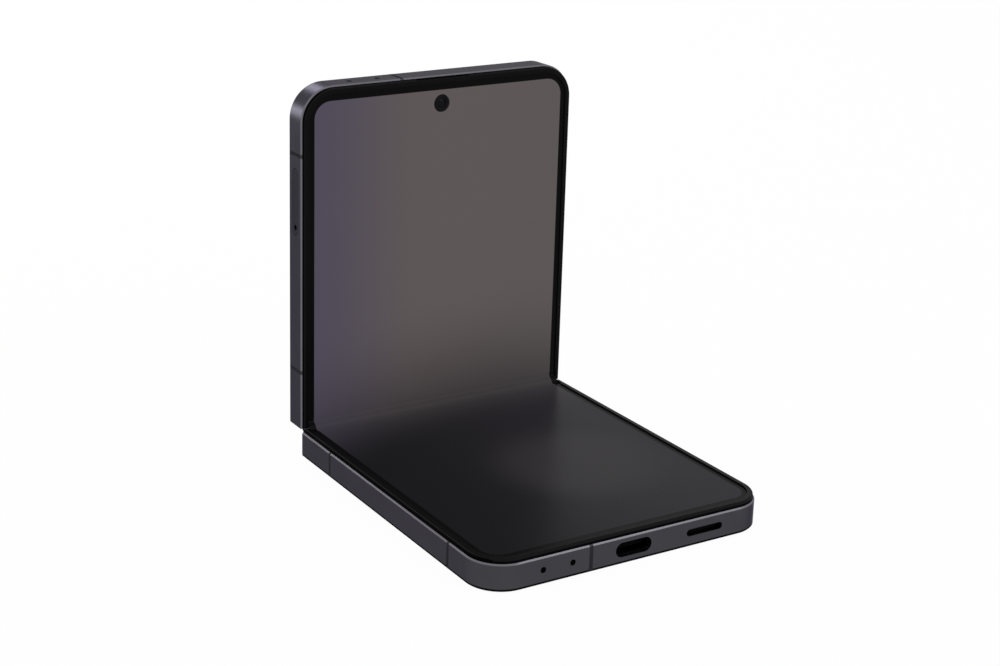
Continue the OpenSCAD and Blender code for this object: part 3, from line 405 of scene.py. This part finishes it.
def softened(name, material, width, shades):
    # a merged copy of a CAD node, smooth on its curves, with a fine edge break
    source = nodes[name]
    mesh = source.data.copy()
    work = bmesh.new()
    work.from_mesh(mesh)
    bmesh.ops.remove_doubles(work, verts=work.verts, dist=edges["weld"] * mm)
    bmesh.ops.dissolve_limit(work, angle_limit=math.radians(edges["flat"]), verts=work.verts,
                             edges=work.edges)
    if name in strips:
        cutStrip(work, strips[name])
    work.to_mesh(mesh)
    work.free()
    mesh.materials.clear()
    mesh.materials.append(material)
    shadeByLean(mesh, name, shades)
    piece = bpy.data.objects.new(name + "_shell", mesh)
    scene.collection.objects.link(piece)
    for face in mesh.polygons:
        face.use_smooth = True
    mesh.set_sharp_from_angle(angle=math.radians(edges["sharp"]))
    if width:
        bevel = piece.modifiers.new("edgeBreak", "BEVEL")
        bevel.width, bevel.segments = width * mm, edges["segments"]
        bevel.limit_method, bevel.angle_limit = "ANGLE", math.radians(edges["rounded"])
        bevel.use_clamp_overlap, bevel.harden_normals = True, True
    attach(piece, source["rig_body"])
    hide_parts(name)
    return piece


def anywhere(height, inward, side):
    # each of these tests takes a face's height, whether it looks inwards and the share it looks sideways
    return True


def lookingIn(height, inward, side):
    return inward


def backEdge(height, inward, side):
    return height < edges["backStrip"]


def groove(height, inward, side):
    return height < edges["grooveTop"] or side > edges["grooveSide"]


# the least and the most share by which a face leans towards the display
lean = dict(chamfer=(0.6, 0.8), backSide=(-0.8, 0.05), backChamfer=(-0.8, -0.6), wall=(-0.3, 0.3),
            shoulder=(0.3, 0.96), outside=(-0.3, 0.96))
# the display-side chamfers are cut bright after anodising and are lighter still as painted highlight; the band
# chamfers, the rim's outer shoulders and, on the lower half, the front of the rim's wall above the groove are
# lighter as painted highlight; the back edges, the rim's wall in its dark groove and its inner shoulder are
# darker copies as painted shade:
# each entry holds a lean, a test and a material, and later entries win
lowerShades = ((lean["chamfer"], anywhere, cutEdgeHighlightMetal), (lean["backSide"], backEdge, backEdgeShadeMetal))
upperShades = ((lean["chamfer"], anywhere, cutEdgeHighlightMetal), (lean["backChamfer"], anywhere, backEdgeShadeMetal))
bandShades = ((lean["chamfer"], anywhere, bandEdgeHighlightResin),)
upperRimShades = ((lean["wall"], anywhere, grooveShadeRubber), (lean["shoulder"], anywhere, rimShoulderSheen),
                  (lean["shoulder"], lookingIn, rimInsideShade))
lowerRimShades = ((lean["outside"], anywhere, rimShoulderSheen), (lean["wall"], groove, grooveShadeRubber),
                  (lean["shoulder"], lookingIn, rimInsideShade))
for name, material, width, shades in (
    ("lower_frame", frameMetal, 0.04, lowerShades), ("upper_frame", frameMetal, 0.04, upperShades),
    ("lower_antenna_bands", bandResin, 0.0, bandShades), ("upper_antenna_bands", bandResin, 0.0, bandShades),
    ("lower_bezel", rimRubber, 0.0, lowerRimShades), ("upper_bezel", rimRubber, 0.0, upperRimShades),
    ("lower_back_cover", lacquerGlass, 0.15, ()), ("upper_back_cover", displayGlass, 0.15, ()),
    ("spine_cover", spineMetal, 0.04, ()), ("card_tray", keyMetal, 0.04, ()),
    ("power_key", keyMetal, 0.05, ()), ("volume_key", keyMetal, 0.05, ()), ("camera_rings", keyMetal, 0.05, ()),
    ("camera_windows", windowGlass, 0.08, ()), ("flash_lens", diffuser, 0.1, ()),
):
    softened(name, material, width, shades)
print("shells softened")


# screen

screen = dict(
    borderSide=2.98, borderEnd=3.3, borderBlur=0.06, cornerTrim=1.0, cornerSegments=16,
    bendCuts=14, flatCuts=3, weld=1e-4, sharp=30.0,  # cuts in the bend and beyond it
    cameraRadius=2.05, cameraEnd=6.5, holeGap=0.05, ringBlur=(-0.05, 0.1), holeSegments=48,
    film="#050505", border="#060606",
    upperLeft="#504a58", upperMiddle="#5d5656", upperRight="#5b5655", middleAt=0.45,
    lowerLeft="#161618", lowerRight="#242227", disc="#2d2b2d",
    # the picture's blurred arcs, in millimetres from the middle of the fold
    fadeMiddle=(12.0, -118.0, 0.0), fadeRadii=(98.0, 152.0),
    discMiddle=(10.0, -46.0, 0.0), discRadii=(26.0, 8.0),
)


def distanceFrom(tree, place, middle):
    # how far a point of the flat sheet lies from a place on it
    return addNode(tree, "ShaderNodeVectorMath", {"operation": "DISTANCE", 1: Vector(middle) * mm},
                   {0: place.outputs["UV"]})


def blurredEdge(tree, distance, dark, light, curve="LINEAR"):
    # 0 at one distance and 1 at the other, in millimetres
    return addNode(tree, "ShaderNodeMapRange",
                   {"interpolation_type": curve, "From Min": dark * mm, "From Max": light * mm},
                   {"Value": distance.outputs["Value"]})


def litPanel():
    # polymer film over organic light-emitting pixels: black edge print, and a picture that glows
    # the film's anti-glare layer keeps reflections faint, so its IOR is far below bare plastic
    material, tree, shader = newMaterial("oled-under-antiglare-film", color=rgb(screen["film"]), ior=1.09,
                                         roughness=0.3, glow=1.0)
    place = addNode(tree, "ShaderNodeUVMap", {"uv_map": "panel"})
    far = phone["halfLength"] - screen["borderEnd"]
    wide = phone["halfWidth"] - screen["borderSide"]
    turn = phone["cornerRadius"] - screen["borderSide"] - screen["cornerTrim"]
    outer = addNode(tree, "ShaderNodeVectorMath", {"operation": "ABSOLUTE"}, {0: place.outputs["UV"]})
    reach = addNode(tree, "ShaderNodeVectorMath",
                    {"operation": "SUBTRACT", 1: ((wide - turn) * mm, (far - turn) * mm, 0)},
                    {0: outer.outputs["Vector"]})
    corner = addNode(tree, "ShaderNodeVectorMath", {"operation": "MAXIMUM"}, {0: reach.outputs["Vector"]})
    span = addNode(tree, "ShaderNodeVectorMath", {"operation": "LENGTH"}, {0: corner.outputs["Vector"]})
    inside = blurredEdge(tree, span, turn + screen["borderBlur"], turn - screen["borderBlur"])
    # black ring printed round the camera
    middle = distanceFrom(tree, place, (0, phone["halfLength"] - screen["cameraEnd"], 0))
    ring = blurredEdge(tree, middle, *(screen["cameraRadius"] + blur for blur in screen["ringBlur"]))
    lit = addNode(tree, "ShaderNodeMath", {"operation": "MULTIPLY"},
                  {0: inside.outputs["Result"], 1: ring.outputs["Result"]})
    # the picture: a soft fade across the upper half and a dark lower half, joined by wide blurred arcs
    split = addNode(tree, "ShaderNodeSeparateXYZ", {}, {"Vector": place.outputs["UV"]})
    across = addNode(tree, "ShaderNodeMapRange", {"From Min": -wide * mm, "From Max": wide * mm},
                     {"Value": split.outputs["X"]})
    top = rampOf(tree, across.outputs["Result"], screen["upperLeft"], screen["upperRight"])
    top.color_ramp.elements.new(screen["middleAt"]).color = rgb(screen["upperMiddle"])
    low = rampOf(tree, across.outputs["Result"], screen["lowerLeft"], screen["lowerRight"])
    for ramp in (top, low):
        ramp.color_ramp.interpolation = "EASE"
    # a large blurred disc whose edge makes the change from light to dark, and a pale one on the lower half
    big = distanceFrom(tree, place, screen["fadeMiddle"])
    fade = blurredEdge(tree, big, *screen["fadeRadii"], "SMOOTHERSTEP")
    pale = distanceFrom(tree, place, screen["discMiddle"])
    glow = blurredEdge(tree, pale, *screen["discRadii"], "SMOOTHERSTEP")
    lifted = addNode(tree, "ShaderNodeMix", {"data_type": "RGBA"})
    lifted.inputs[7].default_value = rgb(screen["disc"])
    tree.links.new(glow.outputs["Result"], lifted.inputs["Factor"])
    tree.links.new(low.outputs["Color"], lifted.inputs[6])
    picture = addNode(tree, "ShaderNodeMix", {"data_type": "RGBA"})
    tree.links.new(fade.outputs["Result"], picture.inputs["Factor"])
    tree.links.new(lifted.outputs[2], picture.inputs[6])
    tree.links.new(top.outputs["Color"], picture.inputs[7])
    shown = addNode(tree, "ShaderNodeMix", {"data_type": "RGBA"})
    shown.inputs[6].default_value = rgb(screen["border"])
    tree.links.new(lit.outputs["Value"], shown.inputs["Factor"])
    tree.links.new(picture.outputs[2], shown.inputs[7])
    tree.links.new(shown.outputs[2], shader.inputs["Emission Color"])
    return material


def flatPanel(hole):
    # one half of the screen, flat, in half coordinates: a rounded rectangle, with a camera hole or without
    wide = phone["halfWidth"] - phone["screenInset"]
    far = phone["halfLength"] - phone["screenInset"]
    work = bmesh.new()
    corners = [work.verts.new((x, v, 0)) for x, v in ((-wide, 0), (wide, 0), (wide, far), (-wide, far))]
    work.faces.new(corners)
    bmesh.ops.bevel(work, geom=corners[2:], offset=phone["cornerRadius"] - phone["screenInset"],
                    offset_type="OFFSET", segments=screen["cornerSegments"], profile=0.5, affect="VERTICES",
                    material=-1)
    if hole:
        bmesh.ops.delete(work, geom=work.faces[:], context="FACES_ONLY")
        rim = bmesh.ops.create_circle(work, segments=screen["holeSegments"],
                                      radius=screen["cameraRadius"] + screen["holeGap"])["verts"]
        bmesh.ops.translate(work, verts=rim, vec=(0, phone["halfLength"] - screen["cameraEnd"], 0))
        bmesh.ops.triangle_fill(work, use_beauty=True, use_dissolve=False, edges=work.edges[:])
    step = phone["bendLength"] / screen["bendCuts"]
    cuts = [step * count for count in range(1, screen["bendCuts"] + screen["flatCuts"] + 1)]
    for cut in cuts + [phone["thinLength"]]:
        bmesh.ops.bisect_plane(work, geom=work.verts[:] + work.edges[:] + work.faces[:], dist=1e-5,
                               plane_co=(0, cut, 0), plane_no=(0, 1, 0))
    bmesh.ops.recalc_face_normals(work, faces=work.faces)
    if work.faces[:][0].normal.z < 0:
        bmesh.ops.reverse_faces(work, faces=work.faces)
    sides = bmesh.ops.extrude_face_region(work, geom=work.faces[:])
    lifted = [g for g in sides["geom"] if isinstance(g, bmesh.types.BMVert)]
    bmesh.ops.translate(work, verts=lifted, vec=(0, 0, phone["screenThickness"]))
    bmesh.ops.recalc_face_normals(work, faces=work.faces)
    return work


rest = math.radians(phone["restTurn"])


def turned(point, axis, angle):
    # a point turned about a line across the phone
    return axis + Matrix.Rotation(angle, 3, "X") @ (point - axis)


def bentPoint(flat, axis, start, end):
    # where a point of the flat sheet rests: turned about the axis by a share of the rest turn that grows
    # smoothly from the start of the bend to its end
    share = 0.5
    for step in range(60):  # the share settles on its own value, 0.4 of the way at each step
        point = turned(flat, axis, share * rest)
        t = min(max((point - start).dot(end - start) / (end - start).length_squared, 0), 1)
        share = 0.6 * share + 0.4 * t * t * (3 - 2 * t)
    return turned(flat, axis, share * rest)


spineMiddle = turned(Vector((0, foldY, phone["screenHeight"])), lowerAxis, rest)


def makeScreen(name, upper):
    # half of the sheet, from the flat panel to the shape it rests in
    work = flatPanel(upper)
    panelMap = work.loops.layers.uv.new("panel")
    for face in work.faces:
        for loop in face.loops:
            loop[panelMap].uv = (loop.vert.co.x * mm, (1 if upper else -1) * loop.vert.co.y * mm)
    base = phone["screenHeight"] - phone["screenThickness"]
    edge = phone["bendLength"]
    for vert in work.verts:
        # over the wing plates the sheet is thinner, so that they can tilt under it
        under = vert.co.z < phone["screenThickness"] / 2 and vert.co.y < phone["thinLength"] + screen["weld"]
        room = phone["screenThickness"] - phone["thinThickness"] if under else 0
        x, v, w = vert.co.x, vert.co.y, vert.co.z + base + room
        if upper:
            # rigid with the spine first, then turned on about the upper axis
            onSpine = turned(Vector((x, foldY + v, w)), lowerAxis, rest)
            goal = onUpper(0, edge, phone["screenHeight"]) / mm
            point = bentPoint(onSpine, upperAxis, spineMiddle, goal)
        else:
            start = Vector((0, foldY - edge, phone["screenHeight"]))
            point = bentPoint(Vector((x, foldY - v, w)), lowerAxis, start, spineMiddle)
        vert.co = point * mm
    mesh = bpy.data.meshes.new(name)
    work.to_mesh(mesh)
    work.free()
    mesh.materials.append(panelMaterial)
    for face in mesh.polygons:
        face.use_smooth = True
    mesh.set_sharp_from_angle(angle=math.radians(screen["sharp"]))
    piece = bpy.data.objects.new(name, mesh)
    scene.collection.objects.link(piece)
    return piece


panelMaterial = litPanel()
lowerScreen = makeScreen("screen-lower", False)
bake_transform(lowerScreen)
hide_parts("lower_display", "lower_display_bend")
upperScreen = makeScreen("screen-upper", True)
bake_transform(upperScreen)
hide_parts("upper_display", "upper_display_bend")
print("screen made")


# front camera

# radius and height above the back, from the rim of the window to the middle of the lens
selfie = dict(
    barrel=((2.0, 6.3), (2.0, 6.86), (1.9, 6.9), (1.25, 6.9), (1.15, 6.78), (0.95, 6.72), (0.95, 6.64)),
    lens=((0.95, 6.64), (0.8, 6.72), (0.6, 6.79), (0.35, 6.83), (0.0, 6.84)), turns=48,
)
lathe = dict(weld=1e-5, sharp=40.0)  # points closer than weld join, edges over sharp degrees stay sharp


def lathed(name, profile, turns, place, material):
    # a profile of radius and height turned about the middle, then put in place point by point
    work = bmesh.new()
    ring = [work.verts.new((r, 0, w)) for r, w in profile]
    line = [work.edges.new((ring[i], ring[i + 1])) for i in range(len(ring) - 1)]
    bmesh.ops.spin(work, geom=ring + line, cent=(0, 0, 0), axis=(0, 0, 1), angle=math.tau, steps=turns,
                   use_merge=True)
    bmesh.ops.remove_doubles(work, verts=work.verts, dist=lathe["weld"])
    for vert in work.verts:
        vert.co = place(vert.co)
    bmesh.ops.recalc_face_normals(work, faces=work.faces)
    mesh = bpy.data.meshes.new(name)
    work.to_mesh(mesh)
    work.free()
    mesh.materials.append(material)
    for face in mesh.polygons:
        face.use_smooth = True
    mesh.set_sharp_from_angle(angle=math.radians(lathe["sharp"]))
    piece = bpy.data.objects.new(name, mesh)
    scene.collection.objects.link(piece)
    return piece


def coatedGlass(name, code, roughness=0.06):
    # black-backed lens glass under a multilayer coating, which leaves a faint tint
    material, tree, shader = newMaterial(name, roughness=roughness, ior=1.15)
    place = addNode(tree, "ShaderNodeTexCoord")
    mottle(tree, shader, rgb("#08080a"), rgb(code), 1.5, place)
    return material


def selfieSpot(co):
    return onUpper(co.x, phone["halfLength"] - screen["cameraEnd"] + co.y, co.z)


lensGlass = coatedGlass("coated-lens-glass", "#121117")
selfieBlack = mouldedPolymer("blackened-selfie-barrel", "#08080a", "#1f1f21", 0.6, 0.1, 0.002, 0.03)
barrel = lathed("selfie-barrel", selfie["barrel"], selfie["turns"], selfieSpot, selfieBlack)
lens = lathed("selfie-lens", selfie["lens"], selfie["turns"], selfieSpot, lensGlass)
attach(barrel, "upper_half")
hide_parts("front_camera")
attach(lens, "upper_half")
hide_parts("front_camera")
print("front camera made")


# rear cameras

# stepped barrel and front lens element, radius and height above the back
rearStack = dict(
    barrel=((0.0, rear["top"]), (rear["radius"], rear["top"]), (rear["radius"], 0.32), (5.18, 0.3), (4.7, 0.3),
            (4.6, 0.45), (3.5, 0.6), (3.4, 0.8), (2.75, 0.86), (2.65, 1.1), (2.3, 1.1), (2.3, 1.4)),
    lens=((2.3, 1.1), (2.0, 0.9), (1.5, 0.7), (0.8, 0.54), (0.0, 0.5)), turns=64,
)
barrelBlack = mouldedPolymer("blackened-lens-barrel", "#020203", "#040405", 0.6, 0.1, 0.002, 0.03)
rearGlass = coatedGlass("coated-rear-lens-glass", "#1b2033", 0.04)
for count, across in enumerate(rear["across"]):
    def rearSpot(co):
        return onUpper(across + co.x, rear["fromFold"] + co.y, co.z)
    for label, material in (("barrel", barrelBlack), ("lens", rearGlass)):
        name = "rear-" + label + "-" + str(count + 1)
        stack = lathed(name, rearStack[label], rearStack["turns"], rearSpot, material)
        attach(stack, "upper_half")
        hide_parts("rear_camera_modules")
print("rear cameras made")


# studio

# metres and watts; a lamp holds its place, the point it looks at, its width, its height and its power
studio = dict(
    floorSize=6.0, floorDrop=0.0002, paper="#f4f4f4", paperWhite=0.97, skyStrength=0.62,
    lamps=dict(
        keyLight=((0.45, -0.7, 0.55), (0, 0.02, 0.03), 0.5, 0.5, 2.2),
        cornerLight=((-0.46, 0.87, 0.175), (0, 0.04, 0.12), 0.22, 0.14, 1.6),
        sideLight=((-0.46, 0.87, 0.05), (0, 0.04, 0.05), 0.22, 0.09, 0.55),
        rimLight=((0.094, 0.876, 0.525), (0, 0.04, 0.07), 0.25, 0.25, 2.8),
    ),
)


def shownWhite(tree, plain, white, share):
    # white where a share says so, and the plain surface or light elsewhere
    return addNode(tree, "ShaderNodeMixShader", {}, {"Fac": share, 1: plain, 2: white})


def makeFloor():
    # seamless paper that keeps the soft shadow and shows nearly white
    work = bmesh.new()
    bmesh.ops.create_grid(work, x_segments=1, y_segments=1, size=studio["floorSize"] / 2)
    mesh = bpy.data.meshes.new("floor")
    work.to_mesh(mesh)
    work.free()
    floor = bpy.data.objects.new("floor", mesh)
    scene.collection.objects.link(floor)
    floor.location.z = -studio["floorDrop"]
    material = bpy.data.materials.new("white-seamless-paper")
    material.use_nodes = True
    tree = material.node_tree
    tree.nodes.clear()
    path = addNode(tree, "ShaderNodeLightPath")
    paper = addNode(tree, "ShaderNodeBsdfDiffuse", {"Color": rgb(studio["paper"])})
    white = addNode(tree, "ShaderNodeEmission", {"Color": rgb("#ffffff"), "Strength": 1.0})
    seen = addNode(tree, "ShaderNodeMath", {"operation": "MAXIMUM"},
                   {0: path.outputs["Is Camera Ray"], 1: path.outputs["Is Glossy Ray"]})
    share = addNode(tree, "ShaderNodeMath", {"operation": "MULTIPLY", 1: studio["paperWhite"]},
                    {0: seen.outputs["Value"]})
    mix = shownWhite(tree, paper.outputs["BSDF"], white.outputs["Emission"], share.outputs["Value"])
    addNode(tree, "ShaderNodeOutputMaterial", {}, {"Surface": mix.outputs["Shader"]})
    mesh.materials.append(material)


def makeSky():
    # even light from all round, seen as white
    world = bpy.data.worlds.new("studio")
    scene.world = world
    world.use_nodes = True
    tree = world.node_tree
    tree.nodes.clear()
    path = addNode(tree, "ShaderNodeLightPath")
    sight = addNode(tree, "ShaderNodeMath", {"operation": "MAXIMUM"},
                    {0: path.outputs["Is Camera Ray"], 1: path.outputs["Is Glossy Ray"]})
    seen = addNode(tree, "ShaderNodeMath", {"operation": "MAXIMUM"},
                   {0: sight.outputs["Value"], 1: path.outputs["Is Transmission Ray"]})
    soft = addNode(tree, "ShaderNodeBackground", {"Color": rgb("#ffffff"), "Strength": studio["skyStrength"]})
    white = addNode(tree, "ShaderNodeBackground", {"Color": rgb("#ffffff"), "Strength": 1.0})
    mix = shownWhite(tree, soft.outputs["Background"], white.outputs["Background"], seen.outputs["Value"])
    addNode(tree, "ShaderNodeOutputWorld", {}, {"Surface": mix.outputs["Shader"]})


def softbox(name, place, aim, wide, tall, power):
    light = bpy.data.lights.new(name, "AREA")
    light.shape, light.size, light.size_y, light.energy = "RECTANGLE", wide, tall, power
    lamp = bpy.data.objects.new(name, light)
    scene.collection.objects.link(lamp)
    lamp.location = place
    lamp.rotation_euler = (Vector(aim) - Vector(place)).to_track_quat("-Z", "Y").to_euler()


makeFloor()
makeSky()
for name, lamp in studio["lamps"].items():
    softbox(name, *lamp)

# the camera's place in millimetres, its turns in degrees, its focal length in pixels of a frame this wide
view = dict(
    place=(-216.990, -321.311, 172.073), azimuth=29.8500, elevation=16.1233, roll=0.8866,
    focal=1863.433, width=1000, sensor=36.0, shift=(0.09594, -0.10206), clip=(0.01, 20.0),
)


def makeCamera():
    # a level camera turned by its azimuth, its elevation and a slight roll
    az, el, roll = (math.radians(view[k]) for k in ("azimuth", "elevation", "roll"))
    forward = Vector((math.sin(az) * math.cos(el), math.cos(az) * math.cos(el), -math.sin(el)))
    right = Vector((math.cos(az), -math.sin(az), 0))
    up = right.cross(forward)
    across = right * math.cos(roll) + up * math.sin(roll)
    top = -right * math.sin(roll) + up * math.cos(roll)
    data = bpy.data.cameras.new("camera")
    data.sensor_width = view["sensor"]
    data.lens = view["focal"] / view["width"] * data.sensor_width
    data.shift_x, data.shift_y = view["shift"]
    data.clip_start, data.clip_end = view["clip"]
    camera = bpy.data.objects.new("camera", data)
    scene.collection.objects.link(camera)
    turn = Matrix((across, top, -forward)).transposed()
    camera.matrix_world = Matrix.Translation(Vector(view["place"]) * mm) @ turn.to_4x4()
    scene.camera = camera


makeCamera()
scene.view_settings.view_transform = "Standard"
print("studio and camera set")
